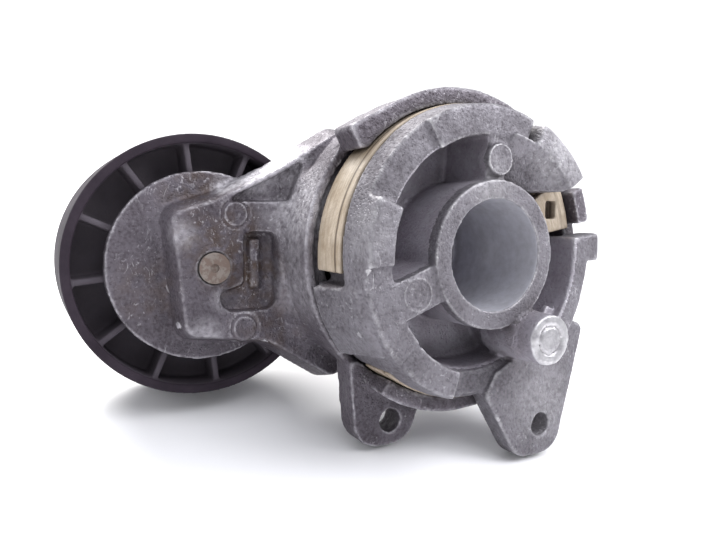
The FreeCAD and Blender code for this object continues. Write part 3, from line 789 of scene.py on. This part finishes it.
pulleyValues = {
    "voxel": 0.38 * mm, "rounding": 2, "triangles": 190000,
    "unevenness": ((9.0 * mm, 0.08 * mm),),
    "innerWall": 33.1 * mm, "rimEdge": 0.5 * mm,
    "outside": {"dark": (0.018, 0.013, 0.019, 1), "light": (0.042, 0.032, 0.043, 1),
                "dust": (0.040, 0.030, 0.036, 1), "dustShare": 0.4, "roughness": 0.55, "patchScale": 60.0,
                "specular": 0.12},
    # the inside is a lighter copy of the nylon: painted light in the recess within the rim
    "inside": {"dark": (0.050, 0.040, 0.053, 1), "light": (0.082, 0.070, 0.086, 1),
               "dust": (0.07, 0.058, 0.062, 1), "dustShare": 0.3, "roughness": 0.7, "patchScale": 60.0},
}


def idlerPulley():
    piece = copyOf("pulley", "idlerPulley")
    soften(piece, pulleyValues)
    giveSkin(piece, pulleyValues)
    outside = plastic("blackNylon", **pulleyValues["outside"])
    # painted light: the recess gets the lighter copy of the nylon
    inside = plastic("nylonPaintedLighter", **pulleyValues["inside"])
    low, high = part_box("pulley")
    axis = (Vector(low) + Vector(high)) / 2
    edge = pulleyValues["rimEdge"]

    # faces within the rim, away from its two faces, take the lighter copy: painted light
    def choose(centre, normal):
        within = math.hypot(centre.x - axis.x, centre.z - axis.z) < pulleyValues["innerWall"]
        return 1 if within and low[1] + edge < centre.y < high[1] - edge else 0

    paintFaces(piece, [outside, inside], choose)
    finishPiece(piece, "pulley", "pulley_nylon", "pulley")
    return piece


# turned and pressed steel, seals

steelFinishes = {
    "bolt_steel": {"name": "boltSteel", "colour": (0.24, 0.235, 0.23, 1), "rust": (0.075, 0.050, 0.036, 1),
                   "rustShare": 0.45, "roughness": 0.5},
    "cap_steel": {"name": "capSteel", "colour": (0.42, 0.41, 0.40, 1), "rustShare": 0.25,
                  "roughness": 0.35},
    "plate_steel": {"name": "plateSteel", "colour": (0.38, 0.37, 0.36, 1), "rustShare": 0.3,
                    "roughness": 0.4},
    "bearing_steel": {"name": "bearingSteel", "colour": (0.55, 0.55, 0.56, 1), "rustShare": 0.12,
                      "roughness": 0.22, "sandScale": 1600.0},
    "cage_steel": {"name": "cageSteel", "colour": (0.45, 0.44, 0.42, 1), "rustShare": 0.1,
                   "roughness": 0.35},
    "spring_steel": {"name": "springSteel", "colour": (0.16, 0.16, 0.17, 1), "rustShare": 0.2,
                     "roughness": 0.38},
}
plasticFinishes = {
    "bush_polymer": {"name": "bushPolymer", "dark": (0.10, 0.09, 0.07, 1), "light": (0.22, 0.20, 0.16, 1),
                     "dust": (0.05, 0.04, 0.03, 1), "dustShare": 0.6, "roughness": 0.45},
    "seal_rubber": {"name": "sealRubber", "dark": (0.012, 0.012, 0.013, 1), "light": (0.05, 0.048, 0.046, 1),
                    "dust": (0.11, 0.09, 0.07, 1), "dustShare": 0.5, "roughness": 0.55},
}

smallValues = {
    "segments": 3, "bevelAngle": 50, "smoothAngle": 35,
    # the bolt's end stands out of the beam and is rustier than its head
    "boltEndDepth": 41 * mm,
    "boltEnd": {"colour": (0.33, 0.29, 0.265, 1), "rust": (0.17, 0.125, 0.105, 1), "rustShare": 0.6,
                "roughness": 0.6},
    # node: piece, body, finish, width of the bevel
    "bevelled": {
        "pulley_bolt": ("pulleyBolt", "arm", "bolt_steel", 0.35 * mm),
        "dust_cap": ("dustCap", "arm", "cap_steel", 0.2 * mm),
        "retaining_plate": ("retainingPlate", "base", "plate_steel", 0.25 * mm),
        "thrust_washer": ("thrustWasher", "base", "bush_polymer", 0.15 * mm),
        "bearing_inner_race": ("bearingInnerRace", "arm", "bearing_steel", 0.25 * mm),
        "bearing_outer_race": ("bearingOuterRace", "pulley", "bearing_steel", 0.25 * mm),
        "front_bearing_seal": ("frontBearingSeal", "pulley", "seal_rubber", 0.15 * mm),
        "rear_bearing_seal": ("rearBearingSeal", "pulley", "seal_rubber", 0.15 * mm),
    },
    # pieces that sit inside keep their CAD shape and get their own finish
    "hidden": {
        "torsion_spring": "spring_steel",
        "rear_pivot_bush": "bush_polymer", "front_pivot_bush": "bush_polymer",
        "cage_rear_half": "cage_steel", "cage_front_half": "cage_steel", "cage_rivets": "cage_steel",
        "bearing_balls": "bearing_steel",
    },
}


def makeFinishes():
    finishes = {slotName: steel(**values) for slotName, values in steelFinishes.items()}
    finishes.update((slotName, plastic(**values)) for slotName, values in plasticFinishes.items())
    return finishes


def smallParts(finishes):
    boltEnd = steel("rustedBoltEnd", **smallValues["boltEnd"])

    def onBoltEnd(centre, normal):
        return 1 if centre.y < smallValues["boltEndDepth"] else 0

    for nodeName, (pieceName, body, slotName, width) in smallValues["bevelled"].items():
        piece = copyOf(nodeName, pieceName)
        useModifier(piece, "BEVEL", width=width, segments=smallValues["segments"], limit_method="ANGLE",
                    angle_limit=math.radians(smallValues["bevelAngle"]))
        makeActive(piece)
        bpy.ops.object.shade_smooth_by_angle(angle=math.radians(smallValues["smoothAngle"]))
        if nodeName == "pulley_bolt":
            paintFaces(piece, [finishes[slotName], boltEnd], onBoltEnd)
        else:
            paintFaces(piece, [finishes[slotName]], lambda centre, normal: 0)
        finishPiece(piece, body, slotName, nodeName)


def finishHidden(finishes):
    for nodeName, slotName in smallValues["hidden"].items():
        nodes[nodeName].data.materials.clear()
        nodes[nodeName].data.materials.append(finishes[slotName])


# floor, light, camera

stageValues = {
    "rise": 0.304,  # the object leans on its two lugs and on the far rim of its pulley
    "floorSize": 12.0, "floorRoughness": 0.38, "floorColour": (0.90, 0.89, 0.90, 1),
    "floorCloud": (0.90, 0.90, 0.92, 1), "cloudScale": 6.0, "cloudDetail": 3.0, "cloudRange": (0.3, 0.7),
    "worldColour": (0.95, 0.97, 1.0, 1), "worldStrength": 0.66,
    "backdropColour": (1, 1, 1, 1), "backdropStrength": 1.1,
}


def lowestTouch(pieces):
    # how far the sloping floor can come up before it meets the object
    rise = stageValues["rise"]
    return min(corner.co.z - rise * corner.co.y for piece in pieces for corner in piece.data.vertices)


def paleFloor():
    material, tree, shader, place = newMaterial("paleFloor")
    cloud = noise(tree, place, stageValues["cloudScale"], stageValues["cloudDetail"])
    tint = blendColours(tree, spread(tree, cloud, *stageValues["cloudRange"]), stageValues["floorColour"],
                        stageValues["floorCloud"])
    tree.links.new(tint, shader["Base Color"])
    shader["Roughness"].default_value = stageValues["floorRoughness"]
    # seen from underneath the floor is clear, so that it never hides the object
    backface = addNode(tree, "NewGeometry").outputs["Backfacing"]
    clear = addNode(tree, "BsdfTransparent").outputs["BSDF"]
    surface = tree.nodes["Material Output"].inputs["Surface"]
    mixed = addNode(tree, "MixShader", {0: backface, 1: surface.links[0].from_socket, 2: clear})
    tree.links.new(mixed.outputs[0], surface)
    return material


def addFloor(height):
    slope = math.atan(stageValues["rise"])
    bpy.ops.mesh.primitive_plane_add(size=stageValues["floorSize"], location=(0, 0, height),
                                     rotation=(slope, 0, 0))
    floor = bpy.context.object
    floor.name = "stageFloor"
    bpy.ops.object.transform_apply(location=True, rotation=True, scale=True)
    floor.data.materials.append(paleFloor())


lightValues = {
    # name: place, size, power, colour
    "softRight": ((0.26, -0.24, 0.20), 0.20, 1.15, (0.98, 0.98, 1.0)),
    "softFront": ((0.05, -0.55, 0.85), 0.8, 6.0, (0.95, 0.96, 1.0)),
    "softLeft": ((-0.65, 0.12, 0.30), 0.5, 1.2, (0.97, 0.98, 1.0)),
}
skyValues = {"from": (-0.10, 0.56, 0.82), "strength": 4.3, "softness": 38, "colour": (1.0, 0.99, 0.97)}


def pointAt(lamp, direction):
    lamp.rotation_euler = Vector(direction).to_track_quat("-Z", "Y").to_euler()


def addLights(target):
    for name, (place, size, power, colour) in lightValues.items():
        bpy.ops.object.light_add(type="AREA", location=place)
        lamp = bpy.context.object
        lamp.name = name
        lamp.data.shape = "DISK"
        lamp.data.size = size
        lamp.data.energy = power
        lamp.data.color = colour
        pointAt(lamp, target - Vector(place))
    bpy.ops.object.light_add(type="SUN")
    sky = bpy.context.object
    sky.name = "skyBehind"
    sky.data.energy = skyValues["strength"]
    sky.data.angle = math.radians(skyValues["softness"])
    sky.data.color = skyValues["colour"]
    pointAt(sky, -Vector(skyValues["from"]))


def addWorld():
    # the room is bright white to look at and a little dimmer as a lamp
    world = bpy.data.worlds.new("studio")
    world.use_nodes = True
    tree = world.node_tree
    room = tree.nodes["Background"]
    room.inputs["Color"].default_value = stageValues["worldColour"]
    room.inputs["Strength"].default_value = stageValues["worldStrength"]
    seen = addNode(tree, "Background", {"Color": stageValues["backdropColour"],
                                        "Strength": stageValues["backdropStrength"]})
    direct = addNode(tree, "LightPath").outputs["Is Camera Ray"]
    mixed = addNode(tree, "MixShader", {0: direct, 1: room.outputs[0], 2: seen.outputs[0]})
    tree.links.new(mixed.outputs[0], tree.nodes["World Output"].inputs["Surface"])
    bpy.context.scene.world = world


cameraValues = {
    "place": (-102.25 * mm, -111.94 * mm, 9.66 * mm), "yaw": 29.61, "pitch": -5.22,
    "lens": 29.99, "sensor": 36, "nearest": 0.005,
}


def addCamera():
    bpy.ops.object.camera_add(location=cameraValues["place"])
    camera = bpy.context.object
    camera.data.lens = cameraValues["lens"]
    camera.data.sensor_width = cameraValues["sensor"]
    camera.data.clip_start = cameraValues["nearest"]
    camera.rotation_euler = (math.radians(90 + cameraValues["pitch"]), 0, -math.radians(cameraValues["yaw"]))
    bpy.context.scene.camera = camera


# the whole object

def main():
    base = baseCasting()
    arm = armCasting()
    frictionShoes()
    pulley = idlerPulley()
    finishes = makeFinishes()
    smallParts(finishes)
    finishHidden(finishes)
    addFloor(lowestTouch([base, arm, pulley]))
    addLights((cadLow + cadHigh) / 2)
    addWorld()
    addCamera()
    bpy.context.scene.view_settings.view_transform = "Standard"
    print("floor, lights and camera placed")


main()
